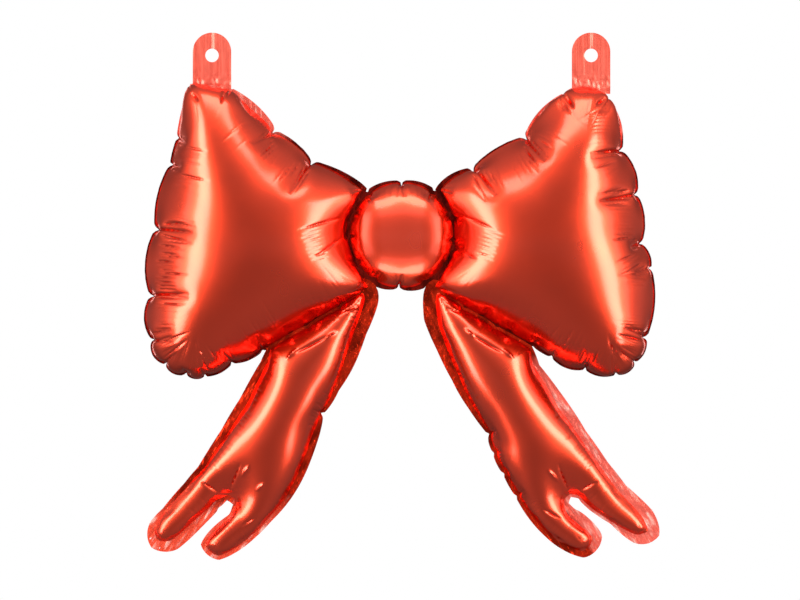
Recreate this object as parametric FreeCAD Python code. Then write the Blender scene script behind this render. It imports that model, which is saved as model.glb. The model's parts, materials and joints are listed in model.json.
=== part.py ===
"""Foil bow balloon: two loops, a round knot and two forked tails, hung by two flat tabs.

Two metallised films are heat-sealed face to face along every edge, so each chamber is a
pillow with a front foil, a rear foil and a flat seam around it. The welds between the
chambers are living hinges. The film plane is XZ, the front is -Y, and the origin is
midway between the two hang holes. Shapes are written for the right-hand side, +X, and
mirrored for the left.
"""
import FreeCAD, Part
import math
import os
from FreeCAD import Matrix, Vector

# Driving dimensions in millimetres.
FILM = 0.4             # one ply of film
SEAM = 2 * FILM        # two plies sealed together
HINGE_GAP = 1.0        # bare weld line between two neighbouring seams

HOLE_SPACING = 246.4   # between the hang holes
HOLE_RADIUS = 4.4
TAB_WIDTH = 25.0
TAB_TOP = 14.8         # above the hole's centre
TAB_ROOT = -15.8       # where the tab bends

KNOT_Z = -116.5
KNOT_RADIUS = 33.0
KNOT_DEPTH = 20.0      # each side of the film plane
KNOT_MARGIN = 2.5      # width of the sealed edge

LOOP_DEPTH = 32.0
LOOP_MARGIN = 3.0
LOOP_CENTRE = (112.0, -130.0)

PASSAGE_DEPTH = 3.0    # of the gas passages through the welds
THROAT_HEIGHT = 22.0   # passage between the knot and each loop
TAIL_PASSAGE = (14.0, 24.0)   # passage through a tail's weld, from the weld's knot end

VALVE_WIDTH = 9.0
VALVE_LENGTH = 62.0
VALVE_FILM = 0.2
VALVE_MOUTH = (161.5, -318.5)
VALVE_ANGLE = -48.5    # of the strip's run to its mouth, in degrees above the horizontal

# A loop's chamber edge: from the tab's root down the outer side, along the tail's weld,
# round the knot and back up the top.
LOOP_EDGE = [
    (114, -20), (134, -20), (146, -58), (155, -97), (161, -138), (162, -172),
    (154, -197), (135, -207), (110, -197), (86, -185.5), (53, -166.3), (26, -151),
    (36, -137), (40, -116.5), (36, -97), (27, -85), (52, -73.5), (76, -56), (96, -36),
]

# The weld between a loop and its tail, which the tail swings about.
TAIL_HINGE = ((19.2, -150.7), (90.7, -191.6))

# A tail's sealed edge below that weld: down the outer side, round the outer prong, the
# fork and the inner prong, and back up the inner side.
TAIL_EDGE = [
    (98, -211), (116, -237), (144, -277), (166, -306), (166, -319), (148, -322),
    (116, -288), (131, -317), (122, -328), (103, -322), (80, -300), (65, -277),
    (57, -255), (48, -234), (35, -209), (23, -182),
]

# Elliptical sections of a tail's chambers: centre x and z, the angle of its width above
# the horizontal in degrees, half its width and half its depth.
TAIL_TUBE = [
    (53.5, -174.6, -29.8, 32.0, 2.4),
    (57.0, -185.0, -20.0, 29.0, 10.0),
    (65.5, -206.0, 2.0, 26.0, 15.0),
    (77.5, -229.0, 22.0, 23.5, 16.0),
    (90.5, -252.0, 20.0, 26.0, 15.5),
    (103.0, -270.0, 16.0, 28.0, 12.5),
    (111.0, -282.0, 14.0, 21.0, 5.0),
]
OUTER_PRONG = [
    (106.0, -255.0, 40.0, 13.5, 9.0),
    (127.0, -279.5, 41.0, 14.0, 11.5),
    (143.0, -297.5, 42.0, 11.5, 9.0),
    (156.0, -312.0, 42.0, 6.5, 3.0),
]
INNER_PRONG = [
    (88.0, -256.0, 26.0, 16.0, 9.5),
    (97.0, -284.0, 30.0, 15.5, 12.5),
    (106.5, -303.0, 34.0, 13.0, 9.5),
    (117.5, -319.0, 38.0, 7.0, 3.0),
]

# Nested copies of a pillow's edge, from its seam to its crown, that its skin runs through.
SKIN_STEPS = [1.0, 0.9, 0.75, 0.55, 0.32, 0.1]
HOLLOW_START = 1.01    # the hollow's first step, just behind the film plane
CORNER_SHARE = 0.45    # how much of its shorter side each rounded corner takes up
ALL_ROUND = 400.0      # larger than the whole bow
FRONT = Vector(0, -1, 0)
ACROSS = Vector(1, 0, 0)


def at(x, z):
    """A point in the film plane."""
    return Vector(x, 0, z)


def rounded(points):
    """A closed wire of straight sides joined by a tangent arc at each corner."""
    corners = [at(x, z) for x, z in points]
    arcs = []
    for i, corner in enumerate(corners):
        before = corners[i - 1] - corner
        after = corners[(i + 1) % len(corners)] - corner
        reach = CORNER_SHARE * min(before.Length, after.Length)
        half_angle = before.getAngle(after) / 2
        before.normalize()
        after.normalize()
        bisector = (before + after).normalize()
        inset = reach / math.cos(half_angle) - reach * math.tan(half_angle)
        arcs.append((corner + before * reach, corner + bisector * inset, corner + after * reach))
    edges = []
    for i, (start, middle, end) in enumerate(arcs):
        edges.append(Part.makeLine(arcs[i - 1][2], start))
        edges.append(Part.Arc(start, middle, end).toShape())
    return Part.Wire(edges)


def circle(radius, x, z):
    return Part.Wire(Part.makeCircle(radius, at(x, z), FRONT))


def plate(wire, thickness=SEAM):
    """A flat piece with this edge, centred on the film plane."""
    front_edge = wire.copy()
    front_edge.translate(FRONT * (thickness / 2))
    return Part.Face(front_edge).extrude(FRONT * -thickness)


def slab(points, thickness):
    """A flat piece with straight sides, centred on the film plane."""
    corners = [at(x, z) for x, z in points]
    return plate(Part.makePolygon(corners + corners[:1]), thickness)


def box_slab(low_x, high_x, low_z, high_z, thickness):
    corners = [(low_x, low_z), (high_x, low_z), (high_x, high_z), (low_x, high_z)]
    return slab(corners, thickness)


def nested(wire, centre, share, y):
    """The wire shrunk towards a centre in the film plane, and moved to a depth."""
    place = Matrix()
    place.move(at(*centre) * -1)
    place.scale(share, 1.0, share)
    place.move(at(*centre) + Vector(0, y, 0))
    return Part.Wire(wire.transformGeometry(place).Edges)


def half_pillow(wire, centre, depth, share=1.0):
    """The front half of a pillow: its skin falls off as a parabola towards the edge.

    A share below one gives the hollow inside it, which starts behind the film plane so
    that cutting it out leaves an open rim.
    """
    first = SKIN_STEPS[0] if share == 1.0 else HOLLOW_START
    sections = []
    for step in [first] + SKIN_STEPS[1:]:
        y = -share * depth * (1.0 - step * step)
        sections.append(nested(wire, centre, share * step, y))
    return Part.makeLoft(sections, True)


def pillow_foil(wire, centre, depth):
    """The front foil of a pillow: half a pillow less the hollow inside it."""
    hollow_share = 1.0 - FILM / depth
    hollow = half_pillow(wire, centre, depth, hollow_share)
    return half_pillow(wire, centre, depth).cut(hollow)


def ellipse(centre, angle, half_width, half_depth):
    """A section across a tube, standing on the film plane along its width."""
    turn = math.radians(angle)
    width_end = centre + at(math.cos(turn), math.sin(turn)) * half_width
    depth_end = centre + FRONT * half_depth
    return Part.Wire(Part.Ellipse(width_end, depth_end, centre).toBSpline().toShape())


def tube(stations, wall=0.0):
    """A closed tube through elliptical stations, or the hollow that leaves a wall inside it."""
    centres = [at(x, z) for x, z, _, _, _ in stations]
    start_step = (centres[1] - centres[0]).normalize() * wall
    end_step = (centres[-2] - centres[-1]).normalize() * wall
    centres[0] += start_step
    centres[-1] += end_step
    sections = []
    for centre, (_, _, angle, half_width, half_depth) in zip(centres, stations):
        sections.append(ellipse(centre, angle, half_width - wall, half_depth - wall))
    return Part.makeLoft(sections, True)


def tail_tubes(wall=0.0):
    """A tail's main tube and its two prongs."""
    return [tube(stations, wall) for stations in (TAIL_TUBE, OUTER_PRONG, INNER_PRONG)]


def along_hinge(start, end, below):
    """Two points at these distances along the tail's weld, and this far below it."""
    origin = at(*TAIL_HINGE[0])
    run = (at(*TAIL_HINGE[1]) - origin).normalize()
    down = at(run.z, -run.x)
    ends = [origin + run * distance + down * below for distance in (start, end)]
    return [(point.x, point.z) for point in ends]


def hinge_length():
    return (at(*TAIL_HINGE[1]) - at(*TAIL_HINGE[0])).Length


def throats():
    """The gas passages from the knot to the two loops, as one channel."""
    reach = KNOT_RADIUS + KNOT_MARGIN + HINGE_GAP + 3 * LOOP_MARGIN
    half_height = THROAT_HEIGHT / 2
    return box_slab(-reach, reach, KNOT_Z - half_height, KNOT_Z + half_height, PASSAGE_DEPTH)


def tail_passage():
    """The gas passage between a loop and its tail."""
    above = along_hinge(*TAIL_PASSAGE, -2.5 * LOOP_MARGIN)
    below = along_hinge(*TAIL_PASSAGE, 2.5 * LOOP_MARGIN)
    return slab(above + below[::-1], PASSAGE_DEPTH)


def knot():
    """The round knot's front foil and its seam, open to the loops."""
    edge = circle(KNOT_RADIUS, 0, KNOT_Z)
    foil = pillow_foil(edge, (0, KNOT_Z), KNOT_DEPTH)
    seam = plate(circle(KNOT_RADIUS + KNOT_MARGIN, 0, KNOT_Z)).cut(plate(edge))
    return foil.cut(throats()), seam.cut(throats())


def loop():
    """A loop's front foil and its seam, open to the knot and to the tail."""
    edge = rounded(LOOP_EDGE)
    foil = pillow_foil(edge, LOOP_CENTRE, LOOP_DEPTH)
    seam = plate(edge.makeOffset2D(LOOP_MARGIN)).cut(plate(edge))
    round_knot = plate(circle(KNOT_RADIUS + KNOT_MARGIN + HINGE_GAP, 0, KNOT_Z), 2 * SEAM)
    past_tail_hinge = slab(along_hinge(-ALL_ROUND, ALL_ROUND, -HINGE_GAP / 2)
                           + along_hinge(ALL_ROUND, -ALL_ROUND, ALL_ROUND), 2 * SEAM)
    past_tab_root = box_slab(0, ALL_ROUND, TAB_ROOT - HINGE_GAP / 2, ALL_ROUND, 2 * SEAM)
    channels = [throats(), tail_passage()]
    seam = seam.cut([round_knot, past_tail_hinge, past_tab_root] + channels)
    return foil.cut(channels), seam


def tail():
    """A tail's whole foil, front and rear, and its seam, open to the loop."""
    main, *prongs = tail_tubes()
    main_hollow, *prong_hollows = tail_tubes(FILM)
    foil = main.fuse(prongs).cut(main_hollow.fuse(prong_hollows))
    top = along_hinge(0, hinge_length(), HINGE_GAP / 2)
    seam = plate(rounded(top + TAIL_EDGE)).cut([main] + prongs)
    return foil.cut(tail_passage()), seam.cut(tail_passage())


def front_half(shape):
    """The part of a shape in front of the film plane."""
    size = 2 * ALL_ROUND
    corner = Vector(-ALL_ROUND, -ALL_ROUND, -ALL_ROUND)
    return shape.common(Part.makeBox(size, ALL_ROUND, size, corner))


def hang_tab():
    """The flat tab over a loop: a tongue with a round top and a hole to hang it by."""
    x = HOLE_SPACING / 2
    half = TAB_WIDTH / 2
    tongue = box_slab(x - half, x + half, TAB_ROOT + HINGE_GAP / 2, TAB_TOP - half, SEAM)
    top = plate(circle(half, x, TAB_TOP - half))
    hole = plate(circle(HOLE_RADIUS, x, 0), 2 * SEAM)
    return tongue.fuse(top).removeSplitter().cut(hole)


def valve_strip(width, thickness):
    """A flat strip from inside the outer prong to its tip, where the valve's mouth is."""
    turn = math.radians(VALVE_ANGLE)
    run = at(math.cos(turn), math.sin(turn))
    aside = at(-run.z, run.x) * (width / 2)
    mouth = at(*VALVE_MOUTH)
    inner = mouth - run * VALVE_LENGTH
    corners = [mouth + aside, mouth - aside, inner - aside, inner + aside]
    return slab([(corner.x, corner.z) for corner in corners], thickness)


def mirrored(shape, normal):
    return shape.mirror(Vector(0, 0, 0), normal)


def build():
    nodes = {}
    knot_foil, knot_seam = knot()
    nodes["knot_front_foil"] = knot_foil
    nodes["knot_rear_foil"] = mirrored(knot_foil, FRONT)
    nodes["knot_seam"] = knot_seam

    loop_foil, loop_seam = loop()
    tail_foil, tail_seam = tail()
    right = {
        "loop_front_foil": loop_foil,
        "loop_rear_foil": mirrored(loop_foil, FRONT),
        "loop_seam": loop_seam,
        "tail_front_foil": front_half(tail_foil),
        "tail_rear_foil": mirrored(front_half(tail_foil), FRONT),
        "tail_seam": tail_seam,
        "hang_tab": hang_tab(),
    }
    for name, shape in right.items():
        nodes["right_" + name] = shape
        nodes["left_" + name] = mirrored(shape, ACROSS)

    # The filling valve is in the left-hand tail only.
    slot = mirrored(valve_strip(VALVE_WIDTH + SEAM, SEAM), ACROSS)
    for name in ("left_tail_front_foil", "left_tail_rear_foil", "left_tail_seam"):
        nodes[name] = nodes[name].cut(slot)
    film = mirrored(valve_strip(VALVE_WIDTH, VALVE_FILM), ACROSS)
    nodes["valve_front_film"] = film.translated(FRONT * VALVE_FILM)
    nodes["valve_rear_film"] = film.translated(FRONT * -VALVE_FILM)
    return nodes


os.makedirs("parts", exist_ok=True)
for node, shape in build().items():
    shape.exportStep("parts/" + node + ".step")
    print(node, "solids", len(shape.Solids), "valid", shape.isValid(), "mm3", round(shape.Volume))
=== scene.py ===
"""Foil bow balloon: its look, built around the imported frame.

Each chamber is cut as two flat films, welded along its seam and blown up by a small
membrane simulation, so that its scallops and pleats come from the film itself. Crimps and
creases too fine for the simulation's mesh are pressed into the refined film afterwards.
Lengths inside the script are millimetres in the film plane (x to the right, z up, and y
to the rear) until a mesh is made, which is in metres.
"""
import json
import math

import bpy
import numpy as np
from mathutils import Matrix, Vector
from mathutils.geometry import delaunay_2d_cdt


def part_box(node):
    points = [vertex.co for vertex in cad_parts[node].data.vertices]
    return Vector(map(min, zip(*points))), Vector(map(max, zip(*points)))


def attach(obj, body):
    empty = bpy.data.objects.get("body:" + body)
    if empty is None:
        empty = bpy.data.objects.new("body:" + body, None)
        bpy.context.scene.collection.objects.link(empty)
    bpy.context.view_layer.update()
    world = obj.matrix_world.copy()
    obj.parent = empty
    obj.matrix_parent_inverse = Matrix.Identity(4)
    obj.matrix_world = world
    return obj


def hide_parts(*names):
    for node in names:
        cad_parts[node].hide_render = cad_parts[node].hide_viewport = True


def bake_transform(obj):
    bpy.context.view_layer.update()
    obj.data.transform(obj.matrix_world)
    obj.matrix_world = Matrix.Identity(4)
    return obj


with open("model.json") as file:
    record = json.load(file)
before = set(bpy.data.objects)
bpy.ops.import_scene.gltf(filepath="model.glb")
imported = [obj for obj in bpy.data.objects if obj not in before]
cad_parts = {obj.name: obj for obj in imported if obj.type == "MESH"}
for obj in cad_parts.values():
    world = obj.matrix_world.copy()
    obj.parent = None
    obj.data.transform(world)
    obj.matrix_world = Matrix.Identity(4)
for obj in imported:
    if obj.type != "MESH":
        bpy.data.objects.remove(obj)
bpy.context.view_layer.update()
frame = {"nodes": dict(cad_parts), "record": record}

MM = 0.001
GRID = 2.5          # spacing of the film's mesh while it is blown up
STEPS = 1500
ROUNDS = 2            # of subdivision afterwards

# ---------------------------------------------------------------------------------------
# Seams. Each is a ring of scallops, given where each one starts: x outwards from the
# middle, z, how far the scallop bulges, how deep the pleat at its start is, and, where it
# isn't the chamber's usual one, how much the flat film is larger and how wide its flat
# margin is.

LEFT_LOOP = [
    (137.0, -19.0, 1.2, 0.0), (145.9, -53.2, 0.3, 2.0), (150.5, -70.7, 3.5, 3.0),
    (160.2, -113.0, 4.8, 3.5), (163.5, -156.5, 4.4, 3.5), (162.2, -185.1, 4.0, 2.5),
    (153.7, -200.7, 3.0, 2.0), (140.1, -207.2, 2.2, 1.6), (127.7, -208.5, 2.2, 2.0),
    (110.2, -200.1, 2.2, 1.6), (90.7, -191.3, 0.2, 1.5, 12, 1.6), (72.0, -180.7, 0.2, 1.0, 12, 1.8),
    (55.0, -171.0, 0.2, 1.0, 12, 1.8), (38.0, -161.3, 0.2, 1.0, 12, 1.8), (21.5, -150.5, -1.0, 0.0, 8),
    (29.5, -135.3, -0.8, 1.0), (35.1, -117.0, -0.5, 2.0), (33.6, -105.0, -0.6, 2.0),
    (25.5, -87.5, 2.1, 0.0, 8), (57.5, -69.4, 2.3, 3.5), (82.9, -49.3, 0.8, 4.0, 12, 2.0),
    (98.5, -34.3, 0.6, 0.0, 12, 4.5), (111.5, -22.5, 0.2, 1.0, 12, 1.5),
]
RIGHT_LOOP = [
    (133.4, -27.0, 4.0, 1.0), (143.3, -61.6, 4.0, 3.0),
    (153.1, -90.2, 3.4, 3.0), (156.3, -122.1, 2.2, 3.0), (162.2, -138.3, 4.0, 2.5),
    (158.9, -183.8, 2.8, 3.0), (151.8, -199.4, 3.0, 2.0), (139.4, -207.2, 2.8, 1.6),
    (119.3, -204.0, 3.4, 2.0), (97.5, -196.0, 0.5, 1.6), (86.0, -188.6, 0.2, 1.0, 12, 1.6),
    (70.0, -179.6, 0.2, 1.0, 12, 1.8), (53.0, -169.8, 0.2, 1.0, 12, 1.8),
    (36.0, -160.1, 0.2, 1.0, 12, 1.8), (21.5, -150.5, -1.0, 0.0, 8), (33.6, -126.5, -0.8, 2.0),
    (33.1, -104.5, -0.8, 2.0), (25.0, -87.5, 2.5, 0.0, 8), (45.2, -74.0, 2.9, 3.5),
    (79.6, -52.5, 3.6, 4.0), (106.0, -24.5, 6.0, 1.0),
]
LEFT_TAIL = [
    (85.0, -190.2, 0.2, 0.0, 7.0, 2.0), (87.0, -201.0, 0.3, 0.0, 9.0, 5.0),
    (99.0, -226.6, 0.3, 0.0, 9.0, 7.0), (112.0, -246.5, 0.2, 0.0, 9.0, 6.0),
    (128.5, -270.5, 0.2, 0.0, 7.0, 4.8), (138.5, -281.0, 0.3, 0.0, 4.5, 4.0),
    (152.5, -296.5, 0.3, 0.0, 4.0, 3.4), (159.5, -305.5, 1.0, 0.0, 3.5, 4.5),
    (158.0, -314.5, 1.0, 0.0, 3.5, 7.0), (149.5, -314.0, 0.3, 0.0, 3.5, 8.0),
    (135.5, -301.5, 0.0, 0.0, 4.0, 7.6), (121.9, -290.0, -0.8, 1.0, 2.5, 6.0),
    (113.0, -285.5, -1.2, 1.0, 2.0, 4.5), (106.5, -291.0, -0.8, 1.0, 2.5, 3.6),
    (109.5, -300.5, 0.3, 0.0, 4.0, 3.2), (119.5, -309.0, 0.5, 0.0, 4.0, 3.7),
    (127.0, -318.0, 1.2, 0.0, 3.5, 3.4), (119.0, -324.5, 0.8, 0.0, 3.5, 3.5),
    (103.0, -315.5, 0.5, 0.0, 4.5, 3.6), (87.1, -299.9, 0.5, 0.0, 6.0, 3.8),
    (75.0, -284.3, 0.5, 0.0, 7.0, 4.8), (66.5, -266.0, 0.3, 0.0, 9.0, 6.0),
    (58.5, -245.0, 0.3, 0.0, 9.0, 5.5), (53.0, -232.0, 0.8, 2.0, 9.0, 2.6),
    (45.0, -216.0, 0.5, 0.0, 9.0, 4.6), (38.5, -198.0, 0.3, 0.0, 9.0, 8.5),
    (31.5, -178.0, 0.3, 0.0, 6.0, 9.2), (25.5, -161.0, 0.3, 0.0, 4.0, 10.0),
    (24.5, -154.5, 0.0, 0.0, 3.5, 9.8), (40.0, -164.0, 0.3, 1.0, 6.0, 1.6),
    (61.0, -176.5, 0.3, 1.0, 7.0, 1.6),
]
RIGHT_TAIL = [
    (83.5, -190.0, 0.2, 0.0, 7.0, 1.6), (85.5, -203.0, 0.3, 0.0, 9.0, 4.5),
    (100.5, -228.5, 0.3, 0.0, 9.0, 7.8), (114.0, -248.0, 0.2, 0.0, 9.0, 7.0),
    (128.6, -268.5, 0.2, 0.0, 7.0, 6.8), (140.5, -284.0, 0.3, 0.0, 4.5, 7.0),
    (156.0, -300.5, 0.3, 0.0, 3.5, 8.5), (159.5, -309.0, 0.8, 0.0, 3.0, 8.5),
    (152.5, -310.5, 0.5, 0.0, 3.5, 6.5), (137.5, -302.5, 0.2, 0.0, 4.0, 2.6),
    (124.0, -293.6, 0.0, 0.0, 3.0, 2.6), (116.0, -286.5, -0.8, 1.0, 2.0, 2.6),
    (109.5, -285.0, -1.0, 1.0, 2.0, 3.0), (105.0, -290.0, -0.8, 1.0, 2.5, 4.5),
    (106.5, -299.4, 0.3, 0.0, 4.0, 8.0), (115.5, -306.8, 0.5, 0.0, 4.0, 8.5),
    (123.5, -314.0, 1.2, 0.0, 3.5, 7.0), (118.0, -321.5, 0.8, 0.0, 3.5, 5.0),
    (101.5, -314.5, 0.5, 0.0, 4.5, 4.0), (87.8, -301.0, 0.5, 0.0, 6.0, 4.0),
    (77.0, -285.0, 0.5, 1.0, 7.0, 3.5), (69.0, -270.5, 0.8, 1.0, 9.0, 3.5),
    (62.6, -257.7, 0.8, 1.0, 9.0, 3.5), (58.5, -245.0, 0.3, 1.5, 9.0, 3.0),
    (47.0, -226.5, 0.5, 0.0, 9.0, 4.6), (38.6, -208.5, 0.3, 0.0, 9.0, 6.4),
    (30.0, -189.0, 0.3, 0.0, 7.0, 7.5), (24.0, -170.0, 0.3, 0.0, 5.0, 9.6),
    (23.5, -154.5, 0.0, 0.0, 3.5, 9.5), (40.0, -164.5, 0.3, 1.0, 6.0, 1.6),
    (61.0, -177.0, 0.3, 1.0, 7.0, 1.6),
]

KNOT_CENTRE = (0.0, -116.5)
KNOT_RADIUS = 34.0
# Where the knot's pleats are, in degrees clockwise from its top, and how deep.
KNOT_PLEATS = [(0, 3.2), (38, 1.4), (64, 1.2), (92, 1.8), (121, 1.2), (148, 1.6), (177, 3.2),
               (206, 1.4), (236, 1.2), (264, 1.8), (292, 1.2), (324, 1.6)]
# Its margins are wide only towards the loops, and widest towards their corners.
KNOT_MARGINS = {0: 0.8, 177: 0.8, 38: 2.8, 324: 2.8, 148: 4.0, 206: 4.0}
KNOT_MARGIN = 2.2      # elsewhere
KNOT_LOBES = {0: 2.2, 324: 2.2, 148: 1.9, 177: 1.9}     # how far its long scallops bulge
KNOT_LOBE = 0.9        # how far the others do
KNOT_SPREAD = 7.0      # how much larger its flat film is
KNOT = [(KNOT_RADIUS * math.sin(math.radians(turn)),
         KNOT_CENTRE[1] + KNOT_RADIUS * math.cos(math.radians(turn)),
         KNOT_LOBES.get(turn, KNOT_LOBE), depth, KNOT_SPREAD, KNOT_MARGINS.get(turn, KNOT_MARGIN))
        for turn, depth in KNOT_PLEATS]
LOOP_MARGIN = 0.8
KNOT_EDGE = 35.6       # outer radius of the knot's margin
KNOT_LAP = 1.8         # how far the loops' margins reach in over it, near the knot,
WIDE_MARGIN = 3.3      # how wide they are there at most,
NEAR_KNOT = 5.0        # and how far from its edge that holds

# Creases that stand apart from the pleats, in the film plane: from, to, and how deep; a
# negative depth is a raised fold.
FREE_CREASES = {
    "left_loop": [((35.4, -105.2), (68.0, -114.5), 1.3), ((36.0, -117.0), (56.5, -132.5), 1.2),
                  ((136.5, -24.5), (130.5, -31.0), 1.8), ((114.5, -23.5), (116.5, -33.0), 1.8)],
    "right_loop": [((35.4, -103.2), (61.0, -114.3), 1.3), ((36.7, -126.5), (48.5, -133.0), 1.2),
                   ((105.6, -24.8), (111.5, -36.0), 1.8), ((133.0, -27.0), (125.5, -33.0), 1.8)],
    "left_tail": [((45.0, -181.0), (71.0, -194.0), 1.4), ((41.0, -178.5), (50.0, -184.5), -1.5),
                  ((67.0, -190.0), (75.0, -198.0), -1.5), ((29.0, -163.5), (49.0, -168.0), 1.2),
                  ((27.0, -162.0), (36.0, -168.5), -1.3), ((131.0, -276.0), (118.0, -284.0), 1.6),
                  ((104.0, -274.0), (98.0, -265.0), -1.2), ((94.0, -283.0), (88.0, -276.0), -1.2),
                  ((104.0, -306.0), (93.0, -299.0), 1.3), ((112.0, -284.0), (104.0, -264.0), 1.6)],
    "right_tail": [((43.0, -180.0), (68.0, -194.0), 1.4), ((40.0, -177.0), (48.0, -183.5), -1.5),
                   ((65.0, -190.5), (73.0, -197.5), -1.5), ((28.0, -164.0), (46.0, -168.5), 1.2),
                   ((128.0, -276.0), (115.0, -283.0), 1.6), ((102.0, -277.0), (94.0, -268.0), -1.2),
                   ((104.0, -301.0), (90.0, -294.0), 1.5), ((109.0, -285.0), (101.0, -264.0), 1.6)],
}

# Fine creases across a loop's throat: the ends of the first and the last one.
THROAT_TOP = ((-66.0, -117.5), (-51.0, -113.5))
THROAT_BOTTOM = ((-59.0, -134.0), (-46.0, -130.5))
THROAT_LINES = 8

CURVE_POINTS = 25      # along one scallop
PLEAT_MOUTH = 0.7      # from a pleat's bottom to where its scallops begin


def scallop_path(points, i, inset):
    """The seam's own path along scallop i, from the bottom of one pleat to the next."""
    n = len(points)
    a, b = points[i], points[(i + 1) % n]
    start, end = np.array(a[:2]), np.array(b[:2])
    chord = end - start
    length = np.linalg.norm(chord)
    along = chord / length
    out = np.array((along[1], -along[0]))
    s = np.linspace(0.0, 1.0, CURVE_POINTS)
    arc = start + np.outer(s, chord) + np.outer(4 * a[2] * s * (1 - s) - inset, out)
    corners = []
    for j in (i, (i + 1) % n):
        across = np.array(points[(j + 1) % n][:2]) - np.array(points[j - 1][:2])
        across /= np.linalg.norm(across)
        inward = np.array((-across[1], across[0]))
        corners.append(np.array(points[j][:2]) + inward * (points[j][3] + inset))
    keep = (s * length > PLEAT_MOUTH * (a[3] > 0)) & ((1 - s) * length > PLEAT_MOUTH * (b[3] > 0))
    return np.vstack([corners[0], arc[keep], corners[1]])


def spread_ring(points, spread):
    """Where the pleats lie on the flat film, which is larger than the chamber it makes."""
    place = np.array([p[:2] for p in points])
    across = np.roll(place, -1, 0) - np.roll(place, 1, 0)
    across /= np.linalg.norm(across, axis=1)[:, None]
    out = np.column_stack([across[:, 1], -across[:, 0]])
    amount = np.array([p[4] if len(p) > 4 else spread for p in points])
    return place + out * amount[:, None]


def run_along(path):
    """How far along a path each of its points is."""
    return np.concatenate([[0.0], np.cumsum(np.linalg.norm(np.diff(path, axis=0), axis=1))])


def points_at(path, run, at):
    """The points at distances along a path."""
    return np.column_stack([np.interp(at, run, path[:, k]) for k in range(path.shape[1])])


def resample(path, count):
    """Points at equal steps along a path, without its last point."""
    run = run_along(path)
    return points_at(path, run, np.linspace(0.0, run[-1], count + 1)[:-1])


def close(ring):
    """A ring with its first point once more at its end."""
    return np.vstack([ring, ring[:1]])


def curve_through(ring, i):
    """The smooth curve through a ring of points, between points i and i + 1."""
    n = len(ring)
    p0, p1, p2, p3 = ring[i - 1], ring[i], ring[(i + 1) % n], ring[(i + 2) % n]
    t = np.linspace(0.0, 1.0, CURVE_POINTS)[:, None]
    m1 = (p2 - p0) / 2 * min(1.0, np.linalg.norm(p2 - p1) / np.linalg.norm(p1 - p0))
    m2 = (p3 - p1) / 2 * min(1.0, np.linalg.norm(p2 - p1) / np.linalg.norm(p3 - p2))
    return ((2 * t**3 - 3 * t**2 + 1) * p1 + (t**3 - 2 * t**2 + t) * m1
            + (-2 * t**3 + 3 * t**2) * p2 + (t**3 - t**2) * m2)


def inside(points, ring):
    """Which points lie inside a closed ring."""
    x, z = points[:, 0][:, None], points[:, 1][:, None]
    ax, az = ring[:, 0], ring[:, 1]
    bx, bz = np.roll(ax, -1), np.roll(az, -1)
    crosses = (az > z) != (bz > z)
    with np.errstate(divide="ignore", invalid="ignore"):
        at = ax + (z - az) * (bx - ax) / (bz - az)
    return (np.sum(crosses & (x < at), axis=1) % 2) == 1


def margin_at(point, usual):
    """The width of the flat margin outside the seam, where a loop's ends at the knot's margin."""
    from_knot = math.hypot(point[0] - KNOT_CENTRE[0], point[1] - KNOT_CENTRE[1]) - KNOT_EDGE
    if usual == LOOP_MARGIN and from_knot < NEAR_KNOT:
        return min(from_knot + KNOT_LAP, WIDE_MARGIN)
    return point[5] if len(point) > 5 else usual


TAIL_FILL = 1.2        # how far outside its given line a tail's seam is,
FILL_MARGIN = 2.5      # where its margin is wider than this
CLOSEST = 0.62         # of the film's points to its rim, in steps of the mesh
BULGE_ROUNDS = 900     # of smoothing, for the shape that the blowing up starts from


def sides_of(tris):
    """The three sides of every triangle, each as two points."""
    return np.vstack([tris[:, [0, 1]], tris[:, [1, 2]], tris[:, [2, 0]]])


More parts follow.
